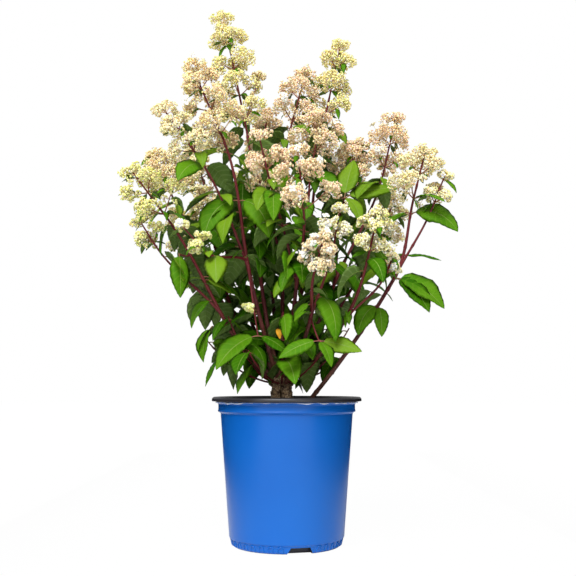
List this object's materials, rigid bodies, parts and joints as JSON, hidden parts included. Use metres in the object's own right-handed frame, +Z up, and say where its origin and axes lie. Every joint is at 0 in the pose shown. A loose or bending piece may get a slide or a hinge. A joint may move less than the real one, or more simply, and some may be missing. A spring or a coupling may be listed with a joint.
{
  "type": "potted panicle hydrangea",
  "caption": "Panicle hydrangea shrub in a round blue nursery pot: burgundy canes fan out from a short crown, with toothed leaves in pairs and loose cream and blush flower panicles.",
  "frame": {"origin": "the middle of the pot's flat underside, which stands on the ground", "axes": "+Z up, the front seen in the picture faces -Y, and +X is to the right of that view"},
  "size_m": [0.4945, 0.4012, 0.8299],
  "materials": {
    "pot_blue": "satin moulded polypropylene, bright blue",
    "lip_black": "black moulded polypropylene",
    "growing_medium": "composted bark and peat",
    "old_bark": "rough, flaking grey-brown bark",
    "cane_bark": "smooth burgundy-red bark, older and browner below",
    "foliage": "matt green leaves, with cream and blush florets on reddish stalks"
  },
  "bodies": {
    "root": {"basal_shoot_1": "foliage", "basal_shoot_10": "foliage", "basal_shoot_2": "foliage", "basal_shoot_3": "foliage", "basal_shoot_4": "foliage", "basal_shoot_5": "foliage", "basal_shoot_6": "foliage", "basal_shoot_7": "foliage", "basal_shoot_8": "foliage", "basal_shoot_9": "foliage", "cane_back_high_left": "cane_bark", "cane_back_left": "cane_bark", "cane_back_low_left": "cane_bark", "cane_back_low_right": "cane_bark", "cane_back_middle": "cane_bark", "cane_back_right": "cane_bark", "cane_far_right": "cane_bark", "cane_front_left": "cane_bark", "cane_front_low": "cane_bark", "cane_front_middle": "cane_bark", "cane_front_right": "cane_bark", "cane_left": "cane_bark", "cane_middle": "cane_bark", "cane_right": "cane_bark", "cane_tall": "cane_bark", "cane_tall_right": "cane_bark", "crown": "old_bark", "growing_medium": "growing_medium", "mass_back_high_left": "foliage", "mass_back_left": "foliage", "mass_back_low_left": "foliage", "mass_back_low_right": "foliage", "mass_back_middle": "foliage", "mass_back_right": "foliage", "mass_far_right": "foliage", "mass_front_left": "foliage", "mass_front_low": "foliage", "mass_front_middle": "foliage", "mass_front_right": "foliage", "mass_left": "foliage", "mass_middle": "foliage", "mass_right": "foliage", "mass_tall": "foliage", "mass_tall_right": "foliage", "pot_lip": "lip_black", "pot_wall": "pot_blue"}
  },
  "joints": []
}
